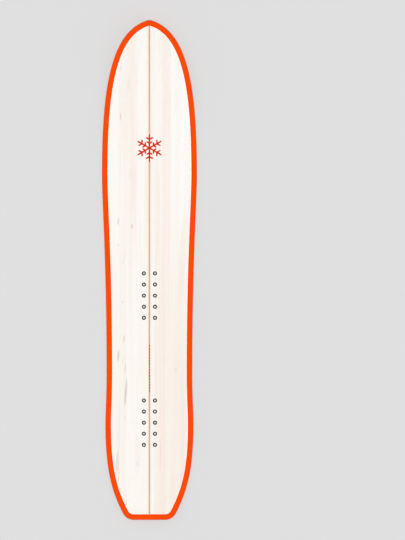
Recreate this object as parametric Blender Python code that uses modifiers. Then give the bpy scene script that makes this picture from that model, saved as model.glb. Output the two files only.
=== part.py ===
"""Directional freeride snowboard with a bare deck, modelled layer by layer.

Metres, +Z up. The board lies on its running base with the nose towards +Y. The origin is under
the middle of the outline, on the plane that the flat part of the base stands on.

The layup, from the bottom: base sheet between two steel edges, glass laminate that steps up over
the tabs of the edges, a core of wood strips between two sidewalls with threaded inserts seated in
it and spacers past its ends, a second glass laminate, and a deck of two veneers, a centre stripe
and a coloured band round the border. Every glue line has the thickness BOND.
"""

import math

import bmesh
import bpy
from mathutils import Matrix, Vector

# Outline seen from above
LENGTH = 1.800
NOSE_WIDTH = 0.3425
WAIST_WIDTH = 0.3089
TAIL_WIDTH = 0.3175
NOSE_LENGTH = 0.555  # from the tip to the widest place of the nose
TAIL_LENGTH = 0.344  # from the tail end to the widest place of the tail
WAIST_PLACE = 0.80  # part of the way from the widest nose to the widest tail
TIP_RADIUS = 0.030
TIP_SWEEP = math.radians(18)  # how far the tip arc turns to each side
TAIL_BLOCK = 0.1135  # straight end of the tail
TAIL_CORNER_RADIUS = 0.043
TAIL_FLANK_ANGLE = math.radians(27.5)  # lean of the flank where the tail corner starts
NOSE_FLANK_PULL = (0.240, 0.533)  # how long each end of a curve holds its direction,
SIDECUT_FRONT_PULL = (0.150, 0.575)  # as a part of the distance between its ends
SIDECUT_REAR_PULL = (0.445, 0.264)
TAIL_FLANK_PULL = (0.473, 0.296)

# Profile seen from the side
NOSE_ROCKER_LENGTH = 0.570
NOSE_LIFT = 0.065
TAIL_ROCKER_LENGTH = 0.240
TAIL_KICK = 0.024
ROCKER_POWER = 2.2

# Layup
BOND = 0.0003
BASE_THICKNESS = 0.0013
GLASS = 0.0006
VENEER = 0.0006
CORE_THICKNESS = 0.0066
CORE_TIP_THICKNESS = 0.0022
CORE_NOSE_SETBACK = 0.110  # from the tip to the front end of the core
CORE_TAIL_SETBACK = 0.075  # from the tail end to the rear end of the core
CORE_FULL_MARGIN = 0.030  # full thickness past the outermost inserts
STRINGER_WIDTH = 0.012
OUTER_STRIPS = 4  # core strips outside the one that holds the inserts

# Steel edges
EDGE_WIDTH = 0.0020
TAB_THICKNESS = 0.0005
TAB_REACH = 0.0055
TAB_LENGTH = 0.048
TAB_PITCH = 0.068

# Border
SIDEWALL_REACH = 0.0089  # from the outline to the inner face of a sidewall
SIDEWALL_LEAN = 0.0006
SETBACK = 0.0003  # laminate and sidewalls behind the face of the edge
JOGGLE_RUN = 0.0005
RIM_WIDTH = 0.020
STRIPE_WIDTH = 0.006

# Threaded inserts
INSERT_PITCH = 0.040
INSERT_ROWS = 5
STANCE = 0.458  # between the middles of the two packs
REAR_PACK_SETBACK = 0.350  # from the tail end to the middle of the rear pack
INSERT_FLANGE = 0.020
INSERT_FLANGE_THICKNESS = 0.0012
INSERT_BARREL = 0.0095
INSERT_BORE = 0.005
INSERT_BORE_DEPTH = 0.0052
DECK_HOLE = 0.0066  # clearance round an M6 bolt

# Fineness of the facets
CHORD_ERROR = 0.00018
LONGEST_FACET = 0.30
SHORTEST_FACET = 0.001
PROFILE_STEP = 0.004
ROUND_SIDES = 10
CUT_PAST = 0.001  # how far a cutter runs past the face that it cuts
LAST_FACET = 0.5  # shortest last facet of the outline, as a part of a full one
CUT_TOLERANCE = 1e-7  # points nearer than this to a cut lie on it
SAME_PLACE = 1e-6  # points nearer to each other than this are one
WELD = 1e-5
FLAT_TURN = 0.0003  # radians between two faces that are joined into one

HALF = LENGTH / 2
EDGE_TOP = BASE_THICKNESS + BOND + TAB_THICKNESS
TRAY_UNDER = BASE_THICKNESS + BOND
TRAY_TOP = TRAY_UNDER + GLASS
LEDGE_UNDER = EDGE_TOP + BOND
LEDGE_TOP = LEDGE_UNDER + GLASS
CORE_UNDER = TRAY_TOP + BOND
SIDE_UNDER = LEDGE_TOP + BOND
LEDGE_REACH = EDGE_WIDTH + TAB_REACH + BOND
CORE_INSET = LEDGE_REACH + JOGGLE_RUN + GLASS + BOND
TOP_INSET = SETBACK + SIDEWALL_LEAN
REAR_PACK = -HALF + REAR_PACK_SETBACK
FRONT_PACK = REAR_PACK + STANCE
PACK_REACH = (INSERT_ROWS - 1) / 2 * INSERT_PITCH
CORE_NOSE_END = HALF - CORE_NOSE_SETBACK
CORE_TAIL_END = -HALF + CORE_TAIL_SETBACK


def rise(y):
    """Height of the underside: flat between the contact places, curving up past them."""
    ahead = max(0.0, y - HALF + NOSE_ROCKER_LENGTH) / NOSE_ROCKER_LENGTH
    behind = max(0.0, -y - HALF + TAIL_ROCKER_LENGTH) / TAIL_ROCKER_LENGTH
    return NOSE_LIFT * ahead**ROCKER_POWER + TAIL_KICK * behind**ROCKER_POWER


def ease(share):
    share = min(max(share, 0.0), 1.0)
    return share * share * (3 - 2 * share)


def core_height(y):
    """Core thickness: full under both insert packs, easing down to its thin ends."""
    front = FRONT_PACK + PACK_REACH + CORE_FULL_MARGIN
    rear = REAR_PACK - PACK_REACH - CORE_FULL_MARGIN
    thinning = max(
        ease((y - front) / (CORE_NOSE_END - front)),
        ease((rear - y) / (rear - CORE_TAIL_END)),
    )
    return CORE_THICKNESS - (CORE_THICKNESS - CORE_TIP_THICKNESS) * thinning


def above_core(extra):
    """A level of the layup that follows the top of the core."""
    return lambda y: CORE_UNDER + core_height(y) + extra


CORE_TOP = above_core(0.0)
TOP_GLASS_UNDER = above_core(BOND)
TOP_GLASS_TOP = above_core(BOND + GLASS)
DECK_UNDER = above_core(2 * BOND + GLASS)
DECK_TOP = above_core(2 * BOND + GLASS + VENEER)


def height(level, y):
    return rise(y) + (level(y) if callable(level) else level)


# The outline is a list of spots down the right side, from the tip to the tail. Each spot is a
# place on the outline and the outward direction there.


def heading(turn):
    """Direction of travel after turning this far from straight across the tip."""
    return Vector((math.cos(turn), -math.sin(turn)))


def outward(direction):
    return Vector((-direction.y, direction.x))


def arc(centre, radius, start, end, count=80):
    spots = []
    for step in range(count + 1):
        out = outward(heading(start + (end - start) * step / count))
        spots.append((centre + out * radius, out))
    return spots


def flank(start, start_turn, end, end_turn, pull, count=400):
    """A curve that leaves and arrives in given directions, as a cubic with two handles."""
    reach = (end - start).length
    first = start + heading(start_turn) * reach * pull[0]
    second = end - heading(end_turn) * reach * pull[1]
    spots = []
    for step in range(count + 1):
        t = step / count
        u = 1 - t
        place = u**3 * start + 3 * u * u * t * first + 3 * u * t * t * second + t**3 * end
        way = u * u * (first - start) + 2 * u * t * (second - first) + t * t * (end - second)
        spots.append((place, outward(way.normalized())))
    return spots


def profile_bend(y):
    """How sharply the board curves seen from the side, on whichever face curves more."""
    bends = []
    for face in (rise, lambda y: rise(y) + core_height(y)):
        bends.append(face(y + PROFILE_STEP) - 2 * face(y) + face(y - PROFILE_STEP))
    return max(abs(bend) for bend in bends) / PROFILE_STEP**2


def thinned(spots, reach):
    """Keeps the spots that hold every chord close to the curve, from above and from the side.

    A layer that lies within a given reach of the centre line only needs the bends of the outline
    that are as near to the line.
    """
    kept = [spots[0]]
    due = 0.0
    for before, here in zip(spots, spots[1:]):
        step = (here[0] - before[0]).length
        bend = profile_bend(here[0].y)
        if here[0].x < reach:
            bend += before[1].angle(here[1]) / step
        due += step * math.sqrt(bend / (8 * CHORD_ERROR)) + step / LONGEST_FACET
        if due >= 1:
            kept.append(here)
            due = 0.0
    if due < LAST_FACET:
        kept.pop()
    return kept + [spots[-1]]


def right_side(reach=LENGTH):
    square = math.pi / 2
    nose = Vector((NOSE_WIDTH / 2, HALF - NOSE_LENGTH))
    tail = Vector((TAIL_WIDTH / 2, -HALF + TAIL_LENGTH))
    waist = Vector((WAIST_WIDTH / 2, nose.y + (tail.y - nose.y) * WAIST_PLACE))
    tip = arc(Vector((0, HALF - TIP_RADIUS)), TIP_RADIUS, 0, TIP_SWEEP)
    corner_centre = Vector((TAIL_BLOCK / 2, -HALF + TAIL_CORNER_RADIUS))
    corner_turn = square + TAIL_FLANK_ANGLE
    corner = arc(corner_centre, TAIL_CORNER_RADIUS, corner_turn, math.pi)
    spots = tip
    spots += flank(tip[-1][0], TIP_SWEEP, nose, square, NOSE_FLANK_PULL)[1:]
    spots += flank(nose, square, waist, square, SIDECUT_FRONT_PULL)[1:]
    spots += flank(waist, square, tail, square, SIDECUT_REAR_PULL)[1:]
    spots += flank(tail, square, corner[0][0], corner_turn, TAIL_FLANK_PULL)[1:]
    return thinned(spots + corner[1:], reach)


OUTLINE = right_side()


def corner_at(mesh, spot, inset, level, side=1):
    place = spot[0] - spot[1] * inset
    return mesh.verts.new((side * place.x, place.y, height(level, place.y)))


def closed_loop(mesh, inset, level, spots=OUTLINE):
    """A loop of points all round the board, some way inside the outline, on one level."""
    right = [corner_at(mesh, spot, inset, level) for spot in spots]
    left = right[:1] + [corner_at(mesh, spot, inset, level, -1) for spot in spots[1:]]
    return right, left


def wall(mesh, first, second):
    """Faces between two loops."""
    first_ring = first[0] + first[1][:0:-1]
    second_ring = second[0] + second[1][:0:-1]
    for step in range(len(first_ring)):
        last = step - 1
        mesh.faces.new((first_ring[last], first_ring[step], second_ring[step], second_ring[last]))


def sheet(mesh, loop):
    """Closes a loop with straight rungs from side to side, so that every face stays flat."""
    right, left = loop
    mesh.faces.new((right[0], right[1], left[1]))
    for step in range(1, len(right) - 1):
        mesh.faces.new((right[step], right[step + 1], left[step + 1], left[step]))


def turned_out(mesh):
    bmesh.ops.recalc_face_normals(mesh, faces=mesh.faces)
    return mesh


def plate(inset, under, top, spots=OUTLINE):
    """A layer of the layup that covers the whole board inside an inset of its outline."""
    mesh = bmesh.new()
    low = closed_loop(mesh, inset, under, spots)
    high = closed_loop(mesh, inset, top, spots)
    wall(mesh, low, high)
    sheet(mesh, low)
    sheet(mesh, high)
    return turned_out(mesh)


def stepped_plate(under, top):
    """A layer whose underside and top each step through given (inset, level) corners."""
    mesh = bmesh.new()
    low = [closed_loop(mesh, inset, level) for inset, level in under]
    high = [closed_loop(mesh, inset, level) for inset, level in top]
    loops = low[::-1] + high
    for first, second in zip(loops, loops[1:]):
        wall(mesh, first, second)
    sheet(mesh, low[-1])
    sheet(mesh, high[-1])
    return turned_out(mesh)


def border(profile):
    """A band all round the board with the cross-section given as (inset, level) corners."""
    mesh = bmesh.new()
    loops = [closed_loop(mesh, inset, level) for inset, level in profile]
    for step, loop in enumerate(loops):
        wall(mesh, loops[step - 1], loop)
    return turned_out(mesh)


def rail(spots, profile):
    """The same down the right side only, with its two ends left open."""
    mesh = bmesh.new()
    rows = [[corner_at(mesh, spot, *corner) for corner in profile] for spot in spots]
    for before, here in zip(rows, rows[1:]):
        for step in range(len(profile)):
            mesh.faces.new((before[step - 1], before[step], here[step], here[step - 1]))
    return mesh, rows


def trimmed(mesh, axis, place, keep):
    """Cuts the mesh square to an axis, keeps the side that keep points to, and caps the cut."""
    normal = [0, 0, 0]
    normal[axis] = -keep
    point = [0, 0, 0]
    point[axis] = place
    everything = mesh.verts[:] + mesh.edges[:] + mesh.faces[:]
    bmesh.ops.bisect_plane(
        mesh, geom=everything, dist=CUT_TOLERANCE, plane_co=point, plane_no=normal, clear_outer=True
    )
    bmesh.ops.edgeloop_fill(mesh, edges=[edge for edge in mesh.edges if edge.is_boundary])
    return turned_out(mesh)


def flat_faces_joined(mesh):
    bmesh.ops.dissolve_limit(mesh, angle_limit=FLAT_TURN, verts=mesh.verts, edges=mesh.edges)
    return mesh


def ripped(mesh, low, high):
    """The strip of a layer between two lines along the board."""
    strip = mesh.copy()
    strip = trimmed(strip, 0, low, 1) if low is not None else strip
    strip = trimmed(strip, 0, high, -1) if high is not None else strip
    return flat_faces_joined(strip)


def mirrored(mesh):
    copy = mesh.copy()
    bmesh.ops.transform(copy, matrix=Matrix.Scale(-1, 4, (1, 0, 0)), verts=copy.verts)
    return turned_out(copy)


def collection(name, parent, hidden=False):
    made = bpy.data.collections.new(name)
    parent.children.link(made)
    made.hide_render = hidden
    return made


def material(name, colour, roughness, metallic=0.0):
    made = bpy.data.materials.new(name)
    made.use_nodes = True
    shader = made.node_tree.nodes["Principled BSDF"]
    shader.inputs["Base Color"].default_value = (*colour, 1)
    shader.inputs["Roughness"].default_value = roughness
    shader.inputs["Metallic"].default_value = metallic
    return made


def piece(name, mesh, finish, place=(0, 0, 0)):
    """Puts a sub-part in the board's collection, under the board's empty."""
    if isinstance(mesh, bmesh.types.BMesh):
        data = bpy.data.meshes.new(name)
        mesh.to_mesh(data)
        mesh.free()
    else:
        data = mesh
    if not data.materials:
        data.materials.append(finish)
    made = bpy.data.objects.new(name, data)
    made.location = place
    made.parent = BOARD
    PIECES.objects.link(made)
    return made


def turned(name, profile):
    """A mesh that holds a half section of (radius, height) corners, outer side running down."""
    data = bpy.data.meshes.new(name)
    corners = [(radius, 0, level) for radius, level in profile]
    data.from_pydata(corners, [(i, i + 1) for i in range(len(corners) - 1)], [])
    return data


def revolved(made):
    screw = made.modifiers.new("turn", "SCREW")
    screw.angle = math.tau
    screw.steps = ROUND_SIDES
    screw.render_steps = ROUND_SIDES
    screw.use_merge_vertices = True
    screw.merge_threshold = WELD
    screw.use_smooth_shade = False
    return made


def cutter(name, data, place, where):
    made = bpy.data.objects.new(name, data)
    made.location = place
    made.display_type = "WIRE"
    made.hide_render = True
    where.objects.link(made)
    return revolved(made)


def cut_by(made, cutters):
    cut = made.modifiers.new(cutters.name, "BOOLEAN")
    cut.operation = "DIFFERENCE"
    cut.solver = "EXACT"
    cut.operand_type = "COLLECTION"
    cut.collection = cutters


for old in list(bpy.data.objects):
    bpy.data.objects.remove(old)

SCENE = bpy.context.scene.collection
PIECES = collection("snowboard", SCENE)
CUTTERS = collection("cutters", SCENE, hidden=True)
BOARD = bpy.data.objects.new("snowboard", None)
PIECES.objects.link(BOARD)

orange_base = material("base polyethylene", (0.93, 0.08, 0.008), 0.42)
orange_side = material("sidewall polymer", (0.93, 0.09, 0.01), 0.45)
orange_deck = material("deck band", (0.94, 0.075, 0.004), 0.28)
edge_steel = material("edge steel", (0.34, 0.34, 0.35), 0.32, 1.0)
glass_resin = material("glass laminate", (0.55, 0.58, 0.45), 0.30)
spacer_polymer = material("spacer polymer", (0.05, 0.05, 0.05), 0.50)
poplar = material("core poplar", (0.66, 0.50, 0.32), 0.60)
ash = material("core ash", (0.52, 0.36, 0.20), 0.60)
insert_steel = material("insert steel", (0.60, 0.60, 0.61), 0.30, 1.0)
pale_veneer = material("pale veneer", (0.95, 0.89, 0.84), 0.38)
warm_veneer = material("warm veneer", (0.91, 0.84, 0.77), 0.38)
stripe_wood = material("stripe wood", (0.67, 0.48, 0.34), 0.40)

# Base and steel edges. The tabs that anchor an edge reach in over the base sheet.
piece("base_sheet", plate(EDGE_WIDTH + BOND, 0.0, BASE_THICKNESS), orange_base)


def edge_spots():
    """The outline with extra spots where each tab starts and ends, out to the tail's middle."""
    whole = OUTLINE + [(Vector((0, -HALF)), Vector((0, -1)))]
    spots = [whole[0]]
    tabs = []
    travelled = 0.0
    for before, here in zip(whole, whole[1:]):
        step = (here[0] - before[0]).length
        first = math.floor(travelled / TAB_PITCH)
        last = math.ceil((travelled + step) / TAB_PITCH)
        stops = [at * TAB_PITCH + side for at in range(first, last + 1) for side in (0, TAB_LENGTH)]
        shares = [(stop - travelled) / step for stop in sorted(stops)]
        shares = [share for share in shares if SHORTEST_FACET < share * step < step - SHORTEST_FACET]
        for share in shares + [1.0]:
            spot = (before[0].lerp(here[0], share), before[1].lerp(here[1], share))
            middle = travelled + (share * step + (spots[-1][0] - before[0]).length) / 2
            tabs.append(middle % TAB_PITCH < TAB_LENGTH)
            spots.append(spot)
        travelled += step
    return spots, tabs


def right_edge():
    spots, tabs = edge_spots()
    under = TRAY_UNDER
    profile = [(0, 0), (EDGE_WIDTH, 0), (EDGE_WIDTH, under), (EDGE_WIDTH, EDGE_TOP), (0, EDGE_TOP)]
    mesh, rows = rail(spots, profile)
    inward = {}
    for spot, row in zip(spots, rows):
        inward[row[2]] = spot[1]
        inward[row[3]] = spot[1]
    for run, tab in enumerate(tabs):
        if tab and not (run and tabs[run - 1]):
            end = run
            while end + 1 < len(tabs) and tabs[end + 1]:
                end += 1
            tab_run = rows[run : end + 2]
            root = [mesh.faces.get((a[2], a[3], b[3], b[2])) for a, b in zip(tab_run, tab_run[1:])]
            grown = bmesh.ops.extrude_face_region(mesh, geom=root)["geom"]
            bmesh.ops.delete(mesh, geom=root, context="FACES_ONLY")
            spots_run = spots[run : end + 2]
            for point in [item for item in grown if isinstance(item, bmesh.types.BMVert)]:
                root_spots = [
                    spot
                    for spot in spots_run
                    if (spot[0] - spot[1] * EDGE_WIDTH - point.co.xy).length < SAME_PLACE
                ]
                base_height = rise(point.co.y)
                point.co.xy -= root_spots[0][1] * TAB_REACH
                point.co.z += rise(point.co.y) - base_height
    return trimmed(mesh, 0, BOND / 2, 1)


edge = right_edge()
piece("steel_edge_left", mirrored(edge), edge_steel)
piece("steel_edge_right", edge, edge_steel)

# Bottom laminate: a tray for the core, raised round the border to clear the edge tabs.
ledge_low = [(SETBACK, LEDGE_UNDER), (LEDGE_REACH, LEDGE_UNDER), (LEDGE_REACH + JOGGLE_RUN, TRAY_UNDER)]
ledge_high = [
    (SETBACK, LEDGE_TOP),
    (LEDGE_REACH + GLASS, LEDGE_TOP),
    (LEDGE_REACH + JOGGLE_RUN + GLASS, TRAY_TOP),
]
piece("bottom_glass", stepped_plate(ledge_low, ledge_high), glass_resin)

# Spacers seat in the same tray and on the same ledge, past the ends of the core.
spacer_low = [
    (SETBACK, SIDE_UNDER),
    (LEDGE_REACH + GLASS + BOND, SIDE_UNDER),
    (CORE_INSET, CORE_UNDER),
]
nose_spacer = stepped_plate(spacer_low, [(TOP_INSET, CORE_TOP)])
tail_spacer = nose_spacer.copy()
piece("nose_spacer", trimmed(nose_spacer, 1, CORE_NOSE_END + BOND, 1), spacer_polymer)
piece("tail_spacer", trimmed(tail_spacer, 1, CORE_TAIL_END - BOND, -1), spacer_polymer)

# Sidewalls lean in a little towards the deck and end with the core.
sidewall, _ = rail(
    OUTLINE,
    [
        (SETBACK, SIDE_UNDER),
        (SIDEWALL_REACH, SIDE_UNDER),
        (SIDEWALL_REACH, CORE_TOP),
        (TOP_INSET, CORE_TOP),
    ],
)
sidewall = trimmed(trimmed(sidewall, 1, CORE_NOSE_END, -1), 1, CORE_TAIL_END, 1)
piece("sidewall_left", mirrored(sidewall), orange_side)
piece("sidewall_right", sidewall, orange_side)

# Inserts: a flange under the core, and a barrel with a blind bore that ends flush with its top.
barrel_top = CORE_THICKNESS
insert_profile = [
    (0, barrel_top - INSERT_BORE_DEPTH),
    (INSERT_BORE / 2, barrel_top - INSERT_BORE_DEPTH),
    (INSERT_BORE / 2, barrel_top),
    (INSERT_BARREL / 2, barrel_top),
    (INSERT_BARREL / 2, INSERT_FLANGE_THICKNESS),
    (INSERT_FLANGE / 2, INSERT_FLANGE_THICKNESS),
    (INSERT_FLANGE / 2, 0),
    (0, 0),
]
seat_profile = [
    (0, CORE_THICKNESS + CUT_PAST),
    (INSERT_BARREL / 2 + BOND, CORE_THICKNESS + CUT_PAST),
    (INSERT_BARREL / 2 + BOND, INSERT_FLANGE_THICKNESS + BOND),
    (INSERT_FLANGE / 2 + BOND, INSERT_FLANGE_THICKNESS + BOND),
    (INSERT_FLANGE / 2 + BOND, -CUT_PAST),
    (0, -CUT_PAST),
]
hole_top = CORE_THICKNESS + 2 * BOND + GLASS + VENEER + CUT_PAST
hole_profile = [
    (0, hole_top),
    (DECK_HOLE / 2, hole_top),
    (DECK_HOLE / 2, CORE_THICKNESS),
    (0, CORE_THICKNESS),
]
insert_mesh = turned("insert", insert_profile)
seat_mesh = turned("insert seat", seat_profile)
hole_mesh = turned("deck hole", hole_profile)
seats = {}
holes = {}
for side_name, side in (("left", -1), ("right", 1)):
    seats[side] = collection("insert seats " + side_name, CUTTERS, hidden=True)
    holes[side] = collection("deck holes " + side_name, CUTTERS, hidden=True)
    for pack_name, pack in (("front", FRONT_PACK), ("rear", REAR_PACK)):
        for row in range(INSERT_ROWS):
            y = pack + PACK_REACH - row * INSERT_PITCH
            place = (side * INSERT_PITCH / 2, y, height(CORE_UNDER, y))
            name = f"{pack_name}_{side_name}_{row + 1}"
            revolved(piece("insert_" + name, insert_mesh, insert_steel, place))
            cutter("seat_" + name, seat_mesh, place, seats[side])
            cutter("hole_" + name, hole_mesh, place, holes[side])

# Core: a blank in the shape of the tray, ripped into strips along the board.
def core_blank(spots):
    blank = plate(CORE_INSET, CORE_UNDER, CORE_TOP, spots)
    return trimmed(trimmed(blank, 1, CORE_NOSE_END, -1), 1, CORE_TAIL_END, 1)


stringer_side = STRINGER_WIDTH / 2
strip_lines = [stringer_side, INSERT_PITCH - stringer_side]
narrowest = WAIST_WIDTH / 2 - CORE_INSET
strip_width = (narrowest - strip_lines[1]) / OUTER_STRIPS
strip_lines += [strip_lines[1] + strip_width * (step + 1) for step in range(OUTER_STRIPS - 1)]
strip_lines.append(None)
outer_blank = core_blank(OUTLINE)
inner_blank = core_blank(right_side(strip_lines[-3]))
piece("core_stringer", ripped(inner_blank, -stringer_side, stringer_side), ash)
for side_name, side in (("left", -1), ("right", 1)):
    for step in range(OUTER_STRIPS + 1):
        near = side * (strip_lines[step] + BOND)
        far = side * strip_lines[step + 1] if strip_lines[step + 1] else None
        low, high = (near, far) if side == 1 else (far, near)
        blank = inner_blank if step < OUTER_STRIPS - 1 else outer_blank
        strip = piece(f"core_strip_{side_name}_{step + 1}", ripped(blank, low, high), poplar)
        if step == 0:
            cut_by(strip, seats[side])
inner_blank.free()
outer_blank.free()

# Top laminate, and the deck over it.
top_glass = piece("top_glass", plate(TOP_INSET, TOP_GLASS_UNDER, TOP_GLASS_TOP), glass_resin)
cut_by(top_glass, holes[-1])
cut_by(top_glass, holes[1])

deck = plate(RIM_WIDTH + BOND, DECK_UNDER, DECK_TOP)
stripe_side = STRIPE_WIDTH / 2
left_veneer = ripped(deck, None, -stripe_side - BOND)
right_veneer = ripped(deck, stripe_side + BOND, None)
cut_by(piece("deck_veneer_left", left_veneer, pale_veneer), holes[-1])
cut_by(piece("deck_veneer_right", right_veneer, warm_veneer), holes[1])
deck.free()
stripe = plate(RIM_WIDTH + BOND, DECK_UNDER, DECK_TOP, right_side(TIP_RADIUS))
piece("deck_stringer", ripped(stripe, -stripe_side, stripe_side), stripe_wood)
stripe.free()

rim = border(
    [
        (TOP_INSET, DECK_UNDER),
        (RIM_WIDTH, DECK_UNDER),
        (RIM_WIDTH, DECK_TOP),
        (TOP_INSET, DECK_TOP),
    ]
)
piece("deck_rim", rim, orange_deck)
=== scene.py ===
"""Looks of the snowboard: fine meshes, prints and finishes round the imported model.

Metres, +Z up, nose towards +Y. The board lies deck up on a plain floor and is seen from straight
above. Every visible layer is made again here with smooth curves, rounded edges and resin in its
glue lines, on the levels that the construction gives it. The wood core stays as it is packed.
"""

import math

import bmesh
import bpy
from mathutils import Matrix, Vector

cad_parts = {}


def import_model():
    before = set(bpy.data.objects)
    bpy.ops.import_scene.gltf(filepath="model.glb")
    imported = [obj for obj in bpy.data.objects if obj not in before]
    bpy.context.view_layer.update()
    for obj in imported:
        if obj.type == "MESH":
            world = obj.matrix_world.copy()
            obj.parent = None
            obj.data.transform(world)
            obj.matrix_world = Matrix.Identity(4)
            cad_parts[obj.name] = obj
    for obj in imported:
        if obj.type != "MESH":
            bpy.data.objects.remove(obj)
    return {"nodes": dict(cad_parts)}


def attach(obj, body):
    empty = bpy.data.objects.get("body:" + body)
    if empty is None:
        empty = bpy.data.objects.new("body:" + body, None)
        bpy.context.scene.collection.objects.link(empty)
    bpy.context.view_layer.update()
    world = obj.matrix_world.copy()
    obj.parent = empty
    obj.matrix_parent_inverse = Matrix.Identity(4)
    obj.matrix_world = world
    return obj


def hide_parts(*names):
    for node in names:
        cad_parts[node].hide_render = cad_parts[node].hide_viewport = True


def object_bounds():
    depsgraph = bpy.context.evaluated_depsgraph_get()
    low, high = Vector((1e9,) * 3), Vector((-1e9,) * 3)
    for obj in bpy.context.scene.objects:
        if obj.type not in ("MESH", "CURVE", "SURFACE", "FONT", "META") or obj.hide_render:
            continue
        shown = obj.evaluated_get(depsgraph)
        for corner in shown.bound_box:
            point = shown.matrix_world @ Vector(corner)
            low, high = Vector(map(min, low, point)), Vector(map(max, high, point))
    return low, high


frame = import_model()
CAD_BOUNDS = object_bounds()

X, Y = 0, 1  # axes across and along the board

# Outline seen from above
LENGTH = CAD_BOUNDS[1].y - CAD_BOUNDS[0].y
HALF = LENGTH / 2
NOSE_WIDTH = CAD_BOUNDS[1].x - CAD_BOUNDS[0].x
WAIST_WIDTH = 0.3089
TAIL_WIDTH = 0.3175
NOSE_LENGTH = 0.555
TAIL_LENGTH = 0.344
WAIST_PLACE = 0.80  # part of the way from the widest nose to the widest tail
TIP_RADIUS = 0.030
TIP_SWEEP = math.radians(18)
TAIL_BLOCK = 0.1135
TAIL_CORNER_RADIUS = 0.043
TAIL_FLANK_ANGLE = math.radians(27.5)
NOSE_FLANK_PULL = (0.240, 0.533)
SIDECUT_FRONT_PULL = (0.150, 0.575)
SIDECUT_REAR_PULL = (0.445, 0.264)
TAIL_FLANK_PULL = (0.473, 0.296)

# Profile seen from the side
NOSE_ROCKER_LENGTH = 0.570
NOSE_LIFT = 0.065
TAIL_ROCKER_LENGTH = 0.240
TAIL_KICK = 0.024
ROCKER_POWER = 2.2

# Layup
BOND = 0.0003
BASE_THICKNESS = 0.0013
GLASS = 0.0006
VENEER = 0.0006
CORE_THICKNESS = 0.0066
CORE_TIP_THICKNESS = 0.0022
CORE_NOSE_SETBACK = 0.110
CORE_TAIL_SETBACK = 0.075
CORE_FULL_MARGIN = 0.030
EDGE_WIDTH = 0.0020
TAB_THICKNESS = 0.0005
TAB_REACH = 0.0055
TAB_LENGTH = 0.048
TAB_PITCH = 0.068
SIDEWALL_REACH = 0.0089
SIDEWALL_LEAN = 0.0006
SETBACK = 0.0003
JOGGLE_RUN = 0.0005
RIM_WIDTH = 0.020
STRIPE_WIDTH = 0.006

# Threaded inserts
INSERT_PITCH = 0.040
INSERT_ROWS = 5
STANCE = 0.458
REAR_PACK_SETBACK = 0.350
INSERT_FLANGE = 0.020
INSERT_FLANGE_THICKNESS = 0.0012
INSERT_BARREL = 0.0095
INSERT_BORE = 0.005
INSERT_BORE_DEPTH = 0.0052
INSERT_CHAMFER = 0.0004
THREAD_DEPTH = 0.0005
THREAD_PITCH = 0.001
THREAD_ROWS = 8  # rows of points in one turn of the thread
DECK_HOLE = 0.0066
RING_WIDTH = 0.0041  # dark mark printed round each hole
RING_MARGIN = 0.0001  # from the hole to its mark

# Small forms of the finish
EDGE_ROUNDING = 0.00018
RIM_ROUNDING = 0.00045
SEAM_ROUNDING = 0.00008
FILL_SINK = 0.00004  # resin in a seam lies this far under the surface
FILM_SETBACK = 0.0002  # a glue film ends this far inside the layers that it joins
PRINT_HEIGHT = 0.00004
SHARP_ANGLE = math.radians(32)
CUT_TOLERANCE = 1e-7

# How finely curves are divided
TIP_STEPS = 8
NOSE_FLANK_STEPS = 80
SIDECUT_FRONT_STEPS = 60
SIDECUT_REAR_STEPS = 20
TAIL_FLANK_STEPS = 36
TAIL_CORNER_STEPS = 20
ROUNDING_STEPS = 4
ROUND_SIDES = 64
DRAPE_STEP = 0.005  # metres between the bends of a print that follows the board's curve
PRINT_END_STEPS = 6

EDGE_TOP = BASE_THICKNESS + BOND + TAB_THICKNESS
TRAY_UNDER = BASE_THICKNESS + BOND
TRAY_TOP = TRAY_UNDER + GLASS
LEDGE_UNDER = EDGE_TOP + BOND
LEDGE_TOP = LEDGE_UNDER + GLASS
CORE_UNDER = TRAY_TOP + BOND
SIDE_UNDER = LEDGE_TOP + BOND
LEDGE_REACH = EDGE_WIDTH + TAB_REACH + BOND
CORE_INSET = LEDGE_REACH + JOGGLE_RUN + GLASS + BOND
TOP_INSET = SETBACK + SIDEWALL_LEAN
REAR_PACK = -HALF + REAR_PACK_SETBACK
FRONT_PACK = REAR_PACK + STANCE
PACK_REACH = (INSERT_ROWS - 1) / 2 * INSERT_PITCH
CORE_NOSE_END = HALF - CORE_NOSE_SETBACK
CORE_TAIL_END = -HALF + CORE_TAIL_SETBACK


def rise(y):
    """Height of the underside: flat between the contact places, curving up past them."""
    ahead = max(0.0, y - HALF + NOSE_ROCKER_LENGTH) / NOSE_ROCKER_LENGTH
    behind = max(0.0, -y - HALF + TAIL_ROCKER_LENGTH) / TAIL_ROCKER_LENGTH
    return NOSE_LIFT * ahead**ROCKER_POWER + TAIL_KICK * behind**ROCKER_POWER


def ease(share):
    share = min(max(share, 0.0), 1.0)
    return share * share * (3 - 2 * share)


def core_height(y):
    """Core thickness: full under both insert packs, easing down to its thin ends."""
    front = FRONT_PACK + PACK_REACH + CORE_FULL_MARGIN
    rear = REAR_PACK - PACK_REACH - CORE_FULL_MARGIN
    thinning = max(
        ease((y - front) / (CORE_NOSE_END - front)),
        ease((rear - y) / (rear - CORE_TAIL_END)),
    )
    return CORE_THICKNESS - (CORE_THICKNESS - CORE_TIP_THICKNESS) * thinning


def above_core(extra):
    """A level of the layup that follows the top of the core."""
    return lambda y: CORE_UNDER + core_height(y) + extra


CORE_TOP = above_core(0.0)
TOP_GLASS_UNDER = above_core(BOND)
TOP_GLASS_TOP = above_core(BOND + GLASS)
DECK_UNDER = above_core(2 * BOND + GLASS)
DECK_TOP = above_core(2 * BOND + GLASS + VENEER)
FLAT_DECK = CORE_UNDER + CORE_THICKNESS + 2 * BOND + GLASS + VENEER


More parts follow.
